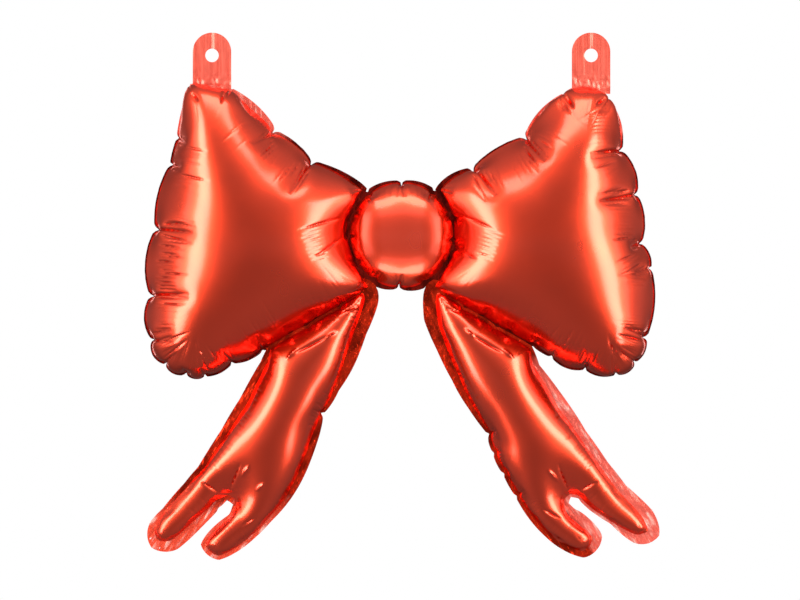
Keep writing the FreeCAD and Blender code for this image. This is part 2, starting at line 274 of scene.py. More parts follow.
class Chamber:
    """Two flat films welded along one ring, and where the ring has to end up."""

    def __init__(self, name, points, side, spread, height, inset, margin, crimps):
        self.name = name
        self.side = side
        self.crimps = crimps
        points = [(-p[0],) + tuple(p[1:]) for p in points]
        ring = spread_ring(points, spread)
        widths = [margin_at(p, margin) for p in points]
        flat, goal, self.pleats, self.margins = [], [], [], []
        for i in range(len(points)):
            curve = curve_through(ring, i)
            length = np.linalg.norm(np.diff(curve, axis=0), axis=1).sum()
            moved = 0.0 if len(points[i]) > 4 or widths[i] != margin else inset
            if "tail" in name and widths[i] > FILL_MARGIN:
                moved = -TAIL_FILL
            path = scallop_path(points, i, moved)
            count = max(2, int(round(length / GRID)))
            self.pleats.append((sum(len(f) for f in flat), points[i][3]))
            next_width = widths[(i + 1) % len(points)]
            margin_run = np.linspace(widths[i], next_width, count + 1)[:-1]
            self.margins.append(margin_run + min(moved, 0.0))
            flat.append(resample(curve, count))
            goal.append(resample(path, count))
        flat = np.vstack(flat)
        goal = np.vstack(goal)
        self.margins = np.concatenate(self.margins)
        self.rim = len(flat)
        low, high = flat.min(0), flat.max(0)
        rows = []
        for k, z in enumerate(np.arange(low[1], high[1], GRID * math.sqrt(0.75))):
            x = np.arange(low[0] + (k % 2) * GRID / 2, high[0], GRID)
            rows.append(np.column_stack([x, np.full(len(x), z)]))
        lattice = np.vstack(rows)
        lattice = lattice[inside(lattice, flat)]
        gap = np.full(len(lattice), 1e9)
        for part in np.array_split(flat, max(1, len(flat) // 50)):
            distance = np.linalg.norm(lattice[:, None] - part[None], axis=2).min(1)
            gap = np.minimum(gap, distance)
        lattice = lattice[gap > CLOSEST * GRID]
        verts = np.vstack([flat, lattice])
        cut = delaunay_2d_cdt([Vector(v) for v in verts], [], [list(range(self.rim))], 1, 1e-7)
        assert len(cut[0]) == len(verts), name
        tris = np.array(cut[2])
        self.flat = verts
        self.goal = goal
        # A first shape: the rim at its goal, the films bulging as a soap film would.
        n = len(verts)
        pairs = np.unique(np.sort(sides_of(tris), 1), axis=0)
        both = np.vstack([pairs, pairs[:, ::-1]])
        both = both[np.argsort(both[:, 0], kind="stable")]
        starts = np.searchsorted(both[:, 0], np.arange(n))
        valence = np.diff(np.append(starts, len(both)))[:, None]
        place = verts.copy()
        place[:self.rim] = goal
        lift = np.zeros((n, 1))
        for _ in range(BULGE_ROUNDS):
            mean = np.add.reduceat(place[both[:, 1]], starts) / valence
            place[self.rim:] += (mean - place)[self.rim:]
            mean = np.add.reduceat(lift[both[:, 1]], starts) / valence
            lift[self.rim:] = mean[self.rim:] + 1.0
        bulge = height * np.sqrt(lift[:, 0] / lift.max())
        m = n - self.rim
        front = np.column_stack([place[:, 0], -bulge, place[:, 1]])
        rear = np.column_stack([place[:, 0], bulge, place[:, 1]])[self.rim:]
        self.start = np.vstack([front, rear])
        rear_index = np.concatenate([np.arange(self.rim), np.arange(self.rim, n) + m])
        self.front_tris = tris
        self.rear_tris = rear_index[tris][:, ::-1]
        self.rest = np.vstack([verts, verts[self.rim:]])


# ---------------------------------------------------------------------------------------
# Blowing the chambers up.

PRESSURE = 8.0e-4      # against springs of stiffness 1 between neighbouring points
SQUASH = 0.12          # stiffness of a spring that is shorter than the flat film
BEND = 0.15
STEP = 0.55
HOLD = 1.0             # how firmly the rim is drawn to its goal,
HOLD_FLAT = 0.3        # and to the film plane
RIM_MASS = 2.0         # of a point on the rim, where both films meet
PUSH_EVERY = 4         # steps between two updates of the pressure's push
FREE, SETTLING = 0.985, 0.95       # what is left of the speed after a step,
SETTLE_FROM = 0.7      # early, and from this share of the steps on


def gather(order_by, count):
    """Sort a list of rows by the point that each adds to, for adding them up fast."""
    order = np.argsort(order_by, kind="stable")
    return order, np.searchsorted(order_by[order], np.arange(count))


def blow_up(chambers):
    """Move every chamber's film under pressure until it comes to rest."""
    offsets = np.cumsum([0] + [len(c.start) for c in chambers])
    count = offsets[-1]
    x = np.vstack([c.start for c in chambers]).astype(np.float32)
    rest = np.vstack([c.rest for c in chambers])
    tris = np.vstack([np.vstack([c.front_tris, c.rear_tris]) + o for c, o in zip(chambers, offsets)])
    rim = np.concatenate([np.arange(c.rim) + o for c, o in zip(chambers, offsets)])
    goal = np.vstack([c.goal for c in chambers]).astype(np.float32)

    pairs = np.unique(np.sort(sides_of(tris), 1), axis=0)
    pairs = np.vstack([pairs, pairs[:, ::-1]])
    order, starts = gather(pairs[:, 0], count)
    source, target = pairs[order].T
    length0 = np.linalg.norm(rest[source] - rest[target], axis=1).astype(np.float32)
    valence = np.diff(np.append(starts, len(source)))[:, None].astype(np.float32)
    corner_order, corner_starts = gather(tris.ravel(), count)
    corner_tri = corner_order // 3
    a, b, c = tris.T
    mass = np.ones((count, 1), np.float32)
    mass[rim] = RIM_MASS

    speed = np.zeros_like(x)
    for step in range(STEPS):
        d = x[target] - x[source]
        length = np.sqrt(np.einsum("ij,ij->i", d, d)) + 1e-9
        strain = length - length0
        pull = np.where(strain > 0, strain, strain * SQUASH) / length
        force = np.add.reduceat(d * pull[:, None], starts)
        if step % PUSH_EVERY == 0:
            area = np.cross(x[b] - x[a], x[c] - x[a])
            push = np.add.reduceat(area[corner_tri], corner_starts) * np.float32(PRESSURE / 6)
        curve = np.add.reduceat(d, starts) / valence
        curve[rim] = 0
        force += push - BEND * np.add.reduceat(curve[target] - curve[source], starts) / valence
        force[rim, 0] += HOLD * (goal[:, 0] - x[rim, 0])
        force[rim, 2] += HOLD * (goal[:, 1] - x[rim, 2])
        force[rim, 1] -= HOLD_FLAT * x[rim, 1]
        kept = np.float32(FREE if step < STEPS * SETTLE_FROM else SETTLING)
        speed = (speed + STEP * force / mass) * kept
        x = x + STEP * speed
    for chamber, o in zip(chambers, offsets):
        chamber.shape = x[o:o + len(chamber.start)].astype(float)


def refine(verts, tris, flat):
    """One round of Loop subdivision of an open film, and of its flat pattern with it."""
    n = len(verts)
    key = np.sort(sides_of(tris), 1)
    opposite = np.concatenate([tris[:, 2], tris[:, 0], tris[:, 1]])
    edges, index, counts = np.unique(key, axis=0, return_inverse=True, return_counts=True)
    index = index.ravel()
    across = np.zeros((len(edges), 3))
    np.add.at(across, index, verts[opposite])
    ends = verts[edges[:, 0]] + verts[edges[:, 1]]
    open_edge = counts == 1
    middle = np.where(open_edge[:, None], ends / 2, ends * 3 / 8 + across / 8)
    both = np.vstack([edges, edges[:, ::-1]])
    total = np.zeros((n, 3))
    np.add.at(total, both[:, 0], verts[both[:, 1]])
    valence = np.bincount(both[:, 0], minlength=n)[:, None]
    beta = (5 / 8 - (3 / 8 + np.cos(2 * np.pi / valence) / 4) ** 2) / valence
    moved = verts * (1 - valence * beta) + total * beta
    rim_edges = edges[open_edge]
    rim_both = np.vstack([rim_edges, rim_edges[:, ::-1]])
    beside = np.zeros((n, 3))
    np.add.at(beside, rim_both[:, 0], verts[rim_both[:, 1]])
    on_rim = np.zeros(n, bool)
    on_rim[rim_edges.ravel()] = True
    moved[on_rim] = verts[on_rim] * 3 / 4 + beside[on_rim] / 8
    m = len(tris)
    ab, bc, ca = index[:m] + n, index[m:2 * m] + n, index[2 * m:] + n
    a, b, c = tris.T
    corners = ((a, ab, ca), (ab, b, bc), (ca, bc, c), (ab, bc, ca))
    fine = np.vstack([np.column_stack(t) for t in corners])
    flat_middle = (flat[edges[:, 0]] + flat[edges[:, 1]]) / 2
    return np.vstack([moved, middle]), fine, np.vstack([flat, flat_middle])


def normals_of(verts, tris):
    """The film's direction outwards at every point."""
    area = np.cross(verts[tris[:, 1]] - verts[tris[:, 0]], verts[tris[:, 2]] - verts[tris[:, 0]])
    total = np.zeros_like(verts)
    for k in range(3):
        np.add.at(total, tris[:, k], area)
    return total / (np.linalg.norm(total, axis=1)[:, None] + 1e-12)


def make_mesh(name, verts, faces):
    """An object from millimetres; its place is in its mesh."""
    mesh = bpy.data.meshes.new(name)
    mesh.from_pydata((np.asarray(verts) * MM).tolist(), [], faces)
    mesh.validate()
    mesh.shade_smooth()
    mesh.set_sharp_from_angle(angle=math.radians(50))
    piece = bpy.data.objects.new(name, mesh)
    bpy.context.scene.collection.objects.link(piece)
    return piece


# ---------------------------------------------------------------------------------------
# Creases.

def along_ring(ring, at, rounds):
    """Points at distances along a closed ring, and the ways inward there, smoothed."""
    closed = close(ring)
    run = run_along(closed)
    smooth = ring.copy()
    for _ in range(rounds):
        smooth = (np.roll(smooth, 1, 0) + 2 * smooth + np.roll(smooth, -1, 0)) / 4
    way = points_at(close(np.roll(smooth, -1, 0) - np.roll(smooth, 1, 0)), run, at)
    way /= np.linalg.norm(way, axis=1)[:, None]
    return points_at(closed, run, at), np.column_stack([-way[:, 1], way[:, 0]])


EDGE = 4.0             # half a crease's whole width, in its own widths


def groove(points, start, way, near, far, depth, width, fade):
    """How deep a crease is at each point. It runs from near to far along its way."""
    away = points - start
    along = away @ way
    across = np.abs(away @ np.array((-way[1], way[0])))
    hit = (along > near) & (along < far) & (across < EDGE * width)
    deep = np.zeros(len(points))
    share = (along[hit] - near) / (far - near)
    side = across[hit] / width
    if fade is broad:
        profile = np.exp(-side ** 2)
    else:
        profile = (np.exp(-side) - math.exp(-EDGE)) * (1 - side / EDGE)
    deep[hit] = depth * fade(share) * profile
    return deep


def swell(share):
    """Rises quickly, and fades away towards the far end."""
    return np.minimum(1.0, share * 5) * (1 - share) ** 0.7


def spindle(share):
    """Fades away towards both ends."""
    return np.sin(np.pi * share) ** 1.5


def broad(share):
    """For the valley between two scallops, which is wide and has no crease."""
    return np.sin(np.pi * share) ** 2


class Crimps:
    """How a chamber's film is gathered near its seam."""

    def __init__(self, reach, depth, puff, comb_at, comb_length, comb_depth, pitch):
        self.reach = reach              # of a pleat, inwards from the seam
        self.depth = depth              # of its crease
        self.puff = puff                # how far the film bulges between two pleats
        self.comb_at = comb_at          # fine crimps between two pleats: where they start,
        self.comb_length = comb_length
        self.comb_depth = comb_depth
        self.pitch = pitch


LOOP_CRIMPS = Crimps(40.0, 2.8, 2.0, 11.0, 27.0, 1.25, 2.7)
KNOT_CRIMPS = Crimps(17.0, 1.6, 1.0, 2.5, 11.0, 0.5, 2.3)
TAIL_CRIMPS = Crimps(16.0, 1.3, 0.8, 3.0, 12.0, 0.35, 2.8)
PRONGS = -266.0        # below this the tails fork
FULL_PLEAT = 3.0       # depth at which a pleat's crease has its full size,
SMALL_PLEAT = 0.35     # and the share of it that every pleat has
VALLEY_WIDTH = 6.0     # of the dip between two scallops
# The creases of a pleat: how far aside each is, where it starts (from the seam, or as a share
# of the pleat's reach), how deep it is against the first, and how wide.
PLEAT_CREASES = [(0.0, 0.6, 0.0, 1.0, 1.1), (-2.6, 0.0, 0.25, 0.45, 0.8), (2.4, 0.0, 0.3, 0.4, 0.8)]
COMB_STRENGTHS = [0.3, 0.7, 1.0, 1.0]      # from one scallop to the next
SHALLOW_COMB = 0.15    # where the pleat is shallow
PRONG_COMB = 0.3
WHOLE_COMBS = 0.35     # share of scallops that a comb fills
COMB_START = 3.0       # from a pleat to the first crimp
COMB_FADE = (5.0, 4.0)     # from a pleat, where crimps begin to fade, and how fast
COMB_WIDTH, FREE_WIDTH, THROAT_WIDTH = 0.8, 0.9, 0.75      # of the creases
THROAT_DEPTH, THROAT_SHIFT = 0.6, 1.5


def press_pleat(total, chamber, flat, at, beside, deep, rng):
    """Press one pleat's valley and creases in. Its neighbours are at least beside away."""
    crimps = chamber.crimps
    start, way = along_ring(chamber.flat[:chamber.rim], np.array([at]), 2)
    start, way = start[0], way[0]
    size = SMALL_PLEAT + (1 - SMALL_PLEAT) * min(1.0, deep / FULL_PLEAT)
    size *= min(1.0, beside / crimps.reach * 1.4)
    reach = min(crimps.reach * size, 1.15 * beside) * rng.uniform(0.8, 1.1)
    total += groove(flat, start, way, 0.0, 1.2 * reach, crimps.puff * size, VALLEY_WIDTH, broad)
    for aside, near, near_share, share, width in PLEAT_CREASES:
        turn = rng.normal(0, 0.10)
        tilted = np.array((way[0] * math.cos(turn) - way[1] * math.sin(turn),
                           way[0] * math.sin(turn) + way[1] * math.cos(turn)))
        moved = np.array((-way[1], way[0])) * aside * rng.uniform(0.7, 1.3)
        total += groove(flat, start + moved, tilted, near + near_share * reach, reach,
                        crimps.depth * size * share, width, swell)


def press_comb(total, chamber, flat, first, last, index, deep, rng):
    """Press the fine crimps in, between the pleats at first and last along the ring."""
    crimps = chamber.crimps
    strength = rng.choice(COMB_STRENGTHS)
    if "loop" in chamber.name:
        if deep <= 1.0:
            strength *= SHALLOW_COMB if deep > 0.0 else 0.0
        if np.linalg.norm(chamber.goal[index] - (0.0, KNOT_CENTRE[1])) < KNOT_EDGE + 4.0:
            strength = 0.0
    elif "tail" in chamber.name and chamber.goal[index][1] < PRONGS:
        strength *= PRONG_COMB
    whole = rng.random() < WHOLE_COMBS     # or only beside the pleats
    length = last - first
    count = int((length - 5.0) / crimps.pitch)
    for k in range(count):
        spot = (k + rng.uniform(0.25, 0.75)) * (length - 2 * COMB_START) / count
        along = first + COMB_START + spot
        start, way = along_ring(chamber.flat[:chamber.rim], np.array([along]), 6)
        near = crimps.comb_at * rng.uniform(0.8, 1.3)
        far = near + crimps.comb_length * rng.uniform(0.55, 1.1)
        from_pleat = min(along - first, last - along)
        share = 1.0 if whole else math.exp(-max(0.0, from_pleat - COMB_FADE[0]) / COMB_FADE[1])
        depth = crimps.comb_depth * strength * share * rng.uniform(0.5, 1.2)
        total += groove(flat, start[0], way[0], near, far, depth, COMB_WIDTH, spindle)


def press_line(total, place, start, end, depth, width, shift=0.0):
    """Press one crease in that runs from start to end in the film plane."""
    way = end - start
    length = np.linalg.norm(way)
    total += groove(place, start, way / length, shift, length + shift, depth, width, spindle)


def crease_depth(chamber, flat, place, seed):
    """How far every point of a film is pushed in by its creases."""
    rng = np.random.default_rng(seed)
    run = run_along(close(chamber.flat[:chamber.rim]))
    total = np.zeros(len(flat))
    starts = [run[index] for index, _ in chamber.pleats] + [run[-1]]
    for i, (index, deep) in enumerate(chamber.pleats):
        before = starts[i] - starts[i - 1] if i else run[-1] - starts[-2]
        beside = min(starts[i + 1] - starts[i], before)
        press_pleat(total, chamber, flat, starts[i], beside, deep, rng)
        press_comb(total, chamber, flat, starts[i], starts[i + 1], index, deep, rng)
    for start, end, deep in FREE_CREASES.get(chamber.name, []):
        start, end = np.array((-start[0], start[1])), np.array((-end[0], end[1]))
        press_line(total, place, start, end, deep, FREE_WIDTH)
    if "loop" in chamber.name:
        for share in np.linspace(0.0, 1.0, THROAT_LINES):
            start, end = ((1 - share) * np.array(a) + share * np.array(b)
                          for a, b in zip(THROAT_TOP, THROAT_BOTTOM))
            shift = rng.uniform(-THROAT_SHIFT, THROAT_SHIFT)
            depth = THROAT_DEPTH * rng.uniform(0.5, 1.1)
            press_line(total, place, start, end, depth, THROAT_WIDTH, shift)
    return total


def chamber_mesh(chamber, kind, verts, faces):
    """A piece of a chamber. All are shaped on the left, and those on the right are mirrored."""
    if chamber.side > 0:
        verts = verts * np.array((-1.0, 1.0, 1.0))
        faces = faces[:, ::-1]
    return make_mesh(f"{chamber.name}_{kind}", verts, faces.tolist())


def make_foil(chamber, face):
    """One film of a chamber, refined and creased, as a mesh."""
    n = chamber.rim + (len(chamber.start) - chamber.rim) // 2
    if face == "front":
        verts, tris = chamber.shape[:n], chamber.front_tris
    else:
        keep = np.concatenate([np.arange(chamber.rim), np.arange(n, len(chamber.shape))])
        verts = chamber.shape[keep]
        tris = chamber.front_tris[:, ::-1]
    flat = chamber.flat
    for _ in range(ROUNDS):
        verts, tris, flat = refine(verts, tris, flat)
    seed = sum(map(ord, chamber.name + face))
    depth = crease_depth(chamber, flat, verts[:, [0, 2]], seed)
    verts = verts - normals_of(verts, tris) * depth[:, None]
    return chamber_mesh(chamber, f"{face}_film", verts, tris)


# ---------------------------------------------------------------------------------------
# Flat margins and tabs.

OCTAVE = 0.72          # size and height of a round of crumples against the one before
MARGIN_STEP = 1.2
MARGIN_TUCK = 0.35     # how far a margin reaches in under the film, as a share of its width
# Rows of points across a margin, its thickness, and the height of its crumples.
TAIL_MARGIN = (8, 0.8, 0.55)
NARROW_MARGIN = (4, 0.4, 0.3)


def crumple(x, z, size, seed):
    """A crumpled height, of about -1 to 1: flat facets that meet in bent creases."""
    rng = np.random.default_rng(seed)
    total = np.zeros_like(x)
    bend = np.sin(x / (2.3 * size) + 1.3) + np.sin(z / (2.9 * size) + 0.4)
    for octave in range(5):
        turn = rng.uniform(0, math.pi)
        scale = size * OCTAVE ** octave
        u = (x * math.cos(turn) + z * math.sin(turn)) / scale + rng.uniform(0, 4) + 0.6 * bend
        total += OCTAVE ** octave * (np.abs(u % 2.0 - 1.0) - 0.5)
    return total * 0.8


def make_margin(chamber, rows, thickness, height):
    """The flat margin outside a chamber's seam, as one closed strip all the way round."""
    rim = chamber.shape[:chamber.rim]
    run = run_along(close(rim))
    at = np.linspace(0.0, run[-1], int(run[-1] / MARGIN_STEP) + 1)[:-1]
    _, inward = along_ring(rim[:, [0, 2]], at, 10)
    place = points_at(close(rim), run, at)
    margins = np.append(chamber.margins, chamber.margins[0])
    width = np.interp(at, run, margins)
    sheets = []
    for share in [-MARGIN_TUCK, *np.linspace(0.0, 1.0, rows)]:
        out = -inward * (share * np.maximum(width, 1.5) if share < 0 else share * width)[:, None]
        x, z = place[:, 0] + out[:, 0], place[:, 2] + out[:, 1]
        ease = max(0.0, share)
        waves = height * crumple(x, z, 5.0, 7) * min(1.0, 2 * ease) * np.minimum(1.0, width / 5.0)
        sheets.append(np.column_stack([x, place[:, 1] * (1 - ease) + waves, z]))
    front = [sheet + (0, -thickness / 2, 0) for sheet in sheets]
    rear = [sheet + (0, thickness / 2, 0) for sheet in sheets[::-1]]
    loops = front + rear
    verts = np.vstack(loops)
    n, m = len(at), len(loops)
    i = np.arange(n)
    faces = []
    for k in range(m):
        a, b = k * n, (k + 1) % m * n
        faces.append(np.column_stack([a + i, a + (i + 1) % n, b + (i + 1) % n, b + i]))
    return chamber_mesh(chamber, "margin", verts, np.vstack(faces))


TAB_STEP = 1.0
TAB_ROOT = -25.0       # hidden inside the loop
TAB_WAVE = 0.25        # height of the tab's lengthwise ripples
TAB_FOLD = 0.5         # step of the line above the hole
TAB_HALF = 0.15        # half its thickness
ROOT_HEIGHT = 1.1      # height of the crumples at its root,
ROOT_RUN = 9.0         # how far they take to grow,
ROOT_ABOVE = 0.9       # and how much of that is above the line where the tab bends


def tab_film_mesh(outline, hole, low, high, step):
    """Points and triangles of a flat film with a hole, inside a box."""
    grid = np.array([(x, z) for z in np.arange(low[1], high[1], step * 0.85)
                     for x in np.arange(low[0], high[0], step)])
    grid = grid[inside(grid, outline) & ~inside(grid, hole)]
    edge = np.vstack([outline, hole])
    near = np.array([np.linalg.norm(edge - g, axis=1).min() for g in grid])
    flat = np.vstack([edge, grid[near > 0.6 * step]])
    a, b = len(outline), len(hole)
    edges = [(k, (k + 1) % a) for k in range(a)] + [(a + k, a + (k + 1) % b) for k in range(b)]
    cut = delaunay_2d_cdt([Vector(v) for v in flat], edges, [], 0, 1e-7)
    flat = np.array([tuple(v) for v in cut[0]])
    tris = np.array(cut[2])
    centre = flat[tris].mean(1)
    tris = tris[inside(centre, outline) & ~inside(centre, hole)]
    area = np.cross(flat[tris[:, 1]] - flat[tris[:, 0]], flat[tris[:, 2]] - flat[tris[:, 0]])
    tris[area < 0] = tris[area < 0][:, ::-1]
    return flat, tris


def make_tab(side):
    """A hang tab: a tongue of film with a round top, a hole, ripples and a crumpled root."""
    low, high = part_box(f"{side}_hang_tab")
    radius = (high[0] - low[0]) / 2 / MM
    middle = (low[0] + high[0]) / 2 / MM
    top = high[2] / MM - radius
    turns = np.radians(np.linspace(0, 180, 40))
    outline = [(middle + radius * math.cos(t), top + radius * math.sin(t)) for t in turns]
    down = np.arange(top - TAB_STEP, TAB_ROOT, -TAB_STEP)
    outline += [(middle - radius, z) for z in down]
    outline += [(x, TAB_ROOT) for x in np.arange(middle - radius, middle + radius + 0.1, TAB_STEP)]
    outline += [(middle + radius, z) for z in down[::-1]]
    hole_turns = np.radians(np.linspace(0, 360, 33)[:-1])
    hole = [(middle + HOLE_RADIUS * math.cos(t), HOLE_RADIUS * math.sin(t)) for t in hole_turns]
    flat, tris = tab_film_mesh(np.array(outline), np.array(hole), (middle - radius, TAB_ROOT),
                               (middle + radius, top + radius), TAB_STEP)
    x, z = flat.T
    ripple = np.sin((x - middle) * 1.9 + 0.9 * np.sin(z / 9.0)) * np.sin((x - middle) * 0.53 + 1.0)
    to_root = np.clip((TAB_BEND - z) / ROOT_RUN + ROOT_ABOVE, 0.0, 1.0) ** 1.5
    y = TAB_WAVE * ripple * (1 - to_root) + ROOT_HEIGHT * crumple(x, z, 4.5, 3) * to_root
    y += TAB_FOLD * np.exp(-np.abs(x - middle) / 0.7) * np.sign(x - middle + 0.01) * (z > HOLE_RADIUS)
    n = len(flat)
    verts = np.vstack([np.column_stack([x, y - TAB_HALF, z]), np.column_stack([x, y + TAB_HALF, z])])
    sides = sides_of(tris).tolist()
    inner = {tuple(e) for e in sides}
    rim = [e for e in sides if (e[1], e[0]) not in inner]
    faces = tris.tolist() + (tris[:, ::-1] + n).tolist()
    faces += [(q, p, p + n, q + n) for p, q in rim]
    return make_mesh(f"{side}_tab_film", verts, faces)


# ---------------------------------------------------------------------------------------
# Finishes.

EDGE_TINT = (1.0, 0.50, 0.40, 1.0)     # of the metal at a grazing angle


class Finish:
    """A metallised film: its nodes are added one at a time."""

    def __init__(self, name, colour, roughness, metallic=1.0):
        self.material = bpy.data.materials.new(name)
        self.material.use_nodes = True
        self.nodes = self.material.node_tree.nodes
        self.links = self.material.node_tree.links
        self.shader = self.nodes["Principled BSDF"]
        self.shader.inputs["Base Color"].default_value = (*colour, 1)
        self.shader.inputs["Metallic"].default_value = metallic
        self.shader.inputs["Roughness"].default_value = roughness
        self.place = self.nodes.new("ShaderNodeTexCoord").outputs["Object"]

    def put(self, value, socket):
        """Link an output to a socket, or set a plain value there."""
        if isinstance(value, bpy.types.NodeSocket):
            self.links.new(value, socket)
        else:
            socket.default_value = (*value, 1) if socket.type == "RGBA" and len(value) == 3 else value

    def node(self, kind, inputs, **settings):
        made = self.nodes.new(kind)
        for key, value in settings.items():
            setattr(made, key, value)
        for key, value in inputs.items():
            self.put(value, made.inputs[key])
        return made

    def noise(self, place, scale, detail=3.0):
        inputs = {"Vector": place, "Scale": scale, "Detail": detail}
        return self.node("ShaderNodeTexNoise", inputs).outputs[0]

    def stretched(self, turn, across, along):
        """Coordinates for streaks along z, turned about the film's normal."""
        turned = self.node("ShaderNodeMapping", {"Vector": self.place, "Rotation": (0, turn, 0)})
        return self.node("ShaderNodeMapping", {"Vector": turned.outputs[0],
                                               "Scale": (across, across, along)}).outputs[0]

    def ranged(self, value, low, high, to_low, to_high):
        inputs = {"Value": value, "From Min": low, "From Max": high, "To Min": to_low, "To Max": to_high}
        return self.node("ShaderNodeMapRange", inputs).outputs[0]

    def mixed(self, factor, first, second):
        return self.node("ShaderNodeMix", {0: factor, 6: first, 7: second}, data_type="RGBA").outputs[2]

    def bumped(self, height, depth, before=None):
        inputs = {"Height": height, "Distance": depth, "Strength": 1.0}
        if before is not None:
            inputs["Normal"] = before
        return self.node("ShaderNodeBump", inputs).outputs[0]

    def set(self, **inputs):
        for key, value in inputs.items():
            self.put(value, self.shader.inputs[key.replace("_", " ")])


def foil_finish():
    """Satin red metallised film, blown tight: faint grain and ripples under a clear ply."""
    made = Finish("red_foil", (0.83, 0.060, 0.022), 0.27)
    cloud = made.noise(made.place, 30.0)
    grain = made.noise(made.place, 1400.0, 2.0)
    draw = made.noise(made.place, 160.0, 2.0)
    normal = made.bumped(grain, 0.000004)
    normal = made.bumped(draw, 0.000012, normal)
    normal = made.bumped(cloud, 0.0002, normal)
    made.set(Base_Color=made.mixed(cloud, (0.88, 0.054, 0.010), (0.82, 0.044, 0.007)),
             Roughness=made.ranged(cloud, 0.3, 0.7, 0.27, 0.34), Normal=normal,
             Specular_Tint=EDGE_TINT, Coat_Weight=0.7, Coat_IOR=1.6, Coat_Roughness=0.18)
    return made.material


def margin_finish(name, turn, deep, painted_light_red, *ways):
    """The flat margin: two plies welded together and creased.

    Each way is a direction, and where along it a change starts and ends, in metres. The
    margin is a deep red up to the start of any way, and past the end of all of them it is
    painted light: a lighter red with pinkish-white streaks, where light falls through the plies.
    """
    made = Finish(name, deep, 0.3)
    streaks = made.noise(made.stretched(turn, 420.0, 60.0), 1.0, 4.0)
    patches = made.noise(made.place, 90.0, 3.0)
    cells = made.node("ShaderNodeTexVoronoi", {"Vector": made.place, "Scale": 330.0},
                      feature="DISTANCE_TO_EDGE").outputs[0]
    # Painted light: a mask, from 0 before the ways to 1 past all of them, of where the margin is painted
    # lighter.
    light = None
    for way, start, end in ways:
        run = made.node("ShaderNodeVectorMath", {0: made.place, 1: way}, operation="DOT_PRODUCT").outputs[1]
        share = made.ranged(run, start, end, 0.0, 1.0)
        both = {0: share, 1: light or 1.0}
        light = made.node("ShaderNodeMath", both, operation="MULTIPLY").outputs[0]
    # Pinkish-white streaks and patches of painted light, only where the painted light mask is.
    pale_painted_light = made.node("ShaderNodeMath", {0: made.ranged(streaks, 0.50, 0.66, 0.0, 1.0),
                                        1: made.ranged(patches, 0.42, 0.60, 0.0, 1.0)},
                     operation="MULTIPLY").outputs[0]
    pale_painted_light = made.node("ShaderNodeMath", {0: pale_painted_light, 1: light}, operation="MULTIPLY").outputs[0]
    normal = made.bumped(streaks, 0.0007)
    normal = made.bumped(made.ranged(cells, 0.0, 0.10, 0.0, 1.0), 0.00006, normal)
    shade = tuple(0.45 * part for part in deep)        # painted shade on the folds
    facets = made.noise(made.stretched(turn, 150.0, 60.0), 1.0, 2.0)
    fold_shaded = made.mixed(made.ranged(facets, 0.40, 0.52, 0.0, 1.0), shade, deep)
    red = made.mixed(light, fold_shaded, painted_light_red)
    # The red, lighter where light is painted, under the pinkish-white painted light; before the ways the
    # specular tint is a darker red.
    made.set(Base_Color=made.mixed(pale_painted_light, red, (0.95, 0.45, 0.37)),
             Roughness=made.ranged(patches, 0.3, 0.7, 0.24, 0.40),
             Metallic=made.ranged(light, 0.0, 1.0, 1.0, 0.55),
             Normal=normal, Specular_Tint=made.mixed(light, (0.5, 0.05, 0.03), EDGE_TINT[:3]),
             Coat_Weight=made.ranged(light, 0.0, 1.0, 0.05, 0.8), Coat_Roughness=0.25)
    return made.material


def tab_finish():
    """The hang tabs: two plies without metal behind them, so lighter, with drawn streaks."""
    made = Finish("tab_film", (0.86, 0.14, 0.10), 0.35, metallic=0.55)
    streaks = made.noise(made.stretched(0.0, 900.0, 28.0), 1.0, 3.0)
    patches = made.noise(made.place, 140.0, 3.0)
    normal = made.bumped(streaks, 0.00018)
    normal = made.bumped(patches, 0.0003, normal)
    made.set(Base_Color=made.mixed(made.ranged(streaks, 0.35, 0.65, 0.0, 1.0),
                                   (0.72, 0.085, 0.052), (0.82, 0.135, 0.088)),
             Roughness=made.ranged(patches, 0.3, 0.7, 0.28, 0.42),
             Normal=normal, Specular_Tint=EDGE_TINT, Coat_Weight=0.45, Coat_Roughness=0.25)
    return made.material


def valve_finish():
    """The filling valve: two thin plies of clear film, slightly milky."""
    made = Finish("valve_film", (0.92, 0.90, 0.88), 0.3, metallic=0.0)
    ripple = made.noise(made.stretched(0.7, 500.0, 80.0), 1.0, 3.0)
    made.set(Roughness=made.ranged(ripple, 0.3, 0.7, 0.2, 0.4), Normal=made.bumped(ripple, 0.0002),
             Transmission_Weight=0.35)
    return made.material


# ---------------------------------------------------------------------------------------
# The bow.

MOUNTS = {mount["name"]: mount for mount in frame["record"]["mounts"]}
JOINTS = {joint["child"]: joint for joint in frame["record"]["behaviour"]["joints"]}
HOLE_RADIUS = MOUNTS["left_hang_hole"]["dims"]["r_mm"]
TAB_BEND = JOINTS["left_tab"]["pos_m"][2] / MM

# How much larger a chamber's flat film is, how high it bulges to begin with, how far inside
# the outline its seam is, its margin, and its crimps.
OF_LOOP = (12.5, 32.0, 0.4, LOOP_MARGIN, LOOP_CRIMPS)
OF_TAIL = (9.0, 16.0, 0.0, 3.0, TAIL_CRIMPS)
OF_KNOT = (KNOT_SPREAD, 18.0, 0.0, KNOT_MARGIN, KNOT_CRIMPS)
chambers = [
    Chamber("left_loop", LEFT_LOOP, -1, *OF_LOOP),
    Chamber("right_loop", RIGHT_LOOP, 1, *OF_LOOP),
    Chamber("left_tail", LEFT_TAIL, -1, *OF_TAIL),
    Chamber("right_tail", RIGHT_TAIL, 1, *OF_TAIL),
    Chamber("knot", KNOT, -1, *OF_KNOT),
]
blow_up(chambers)

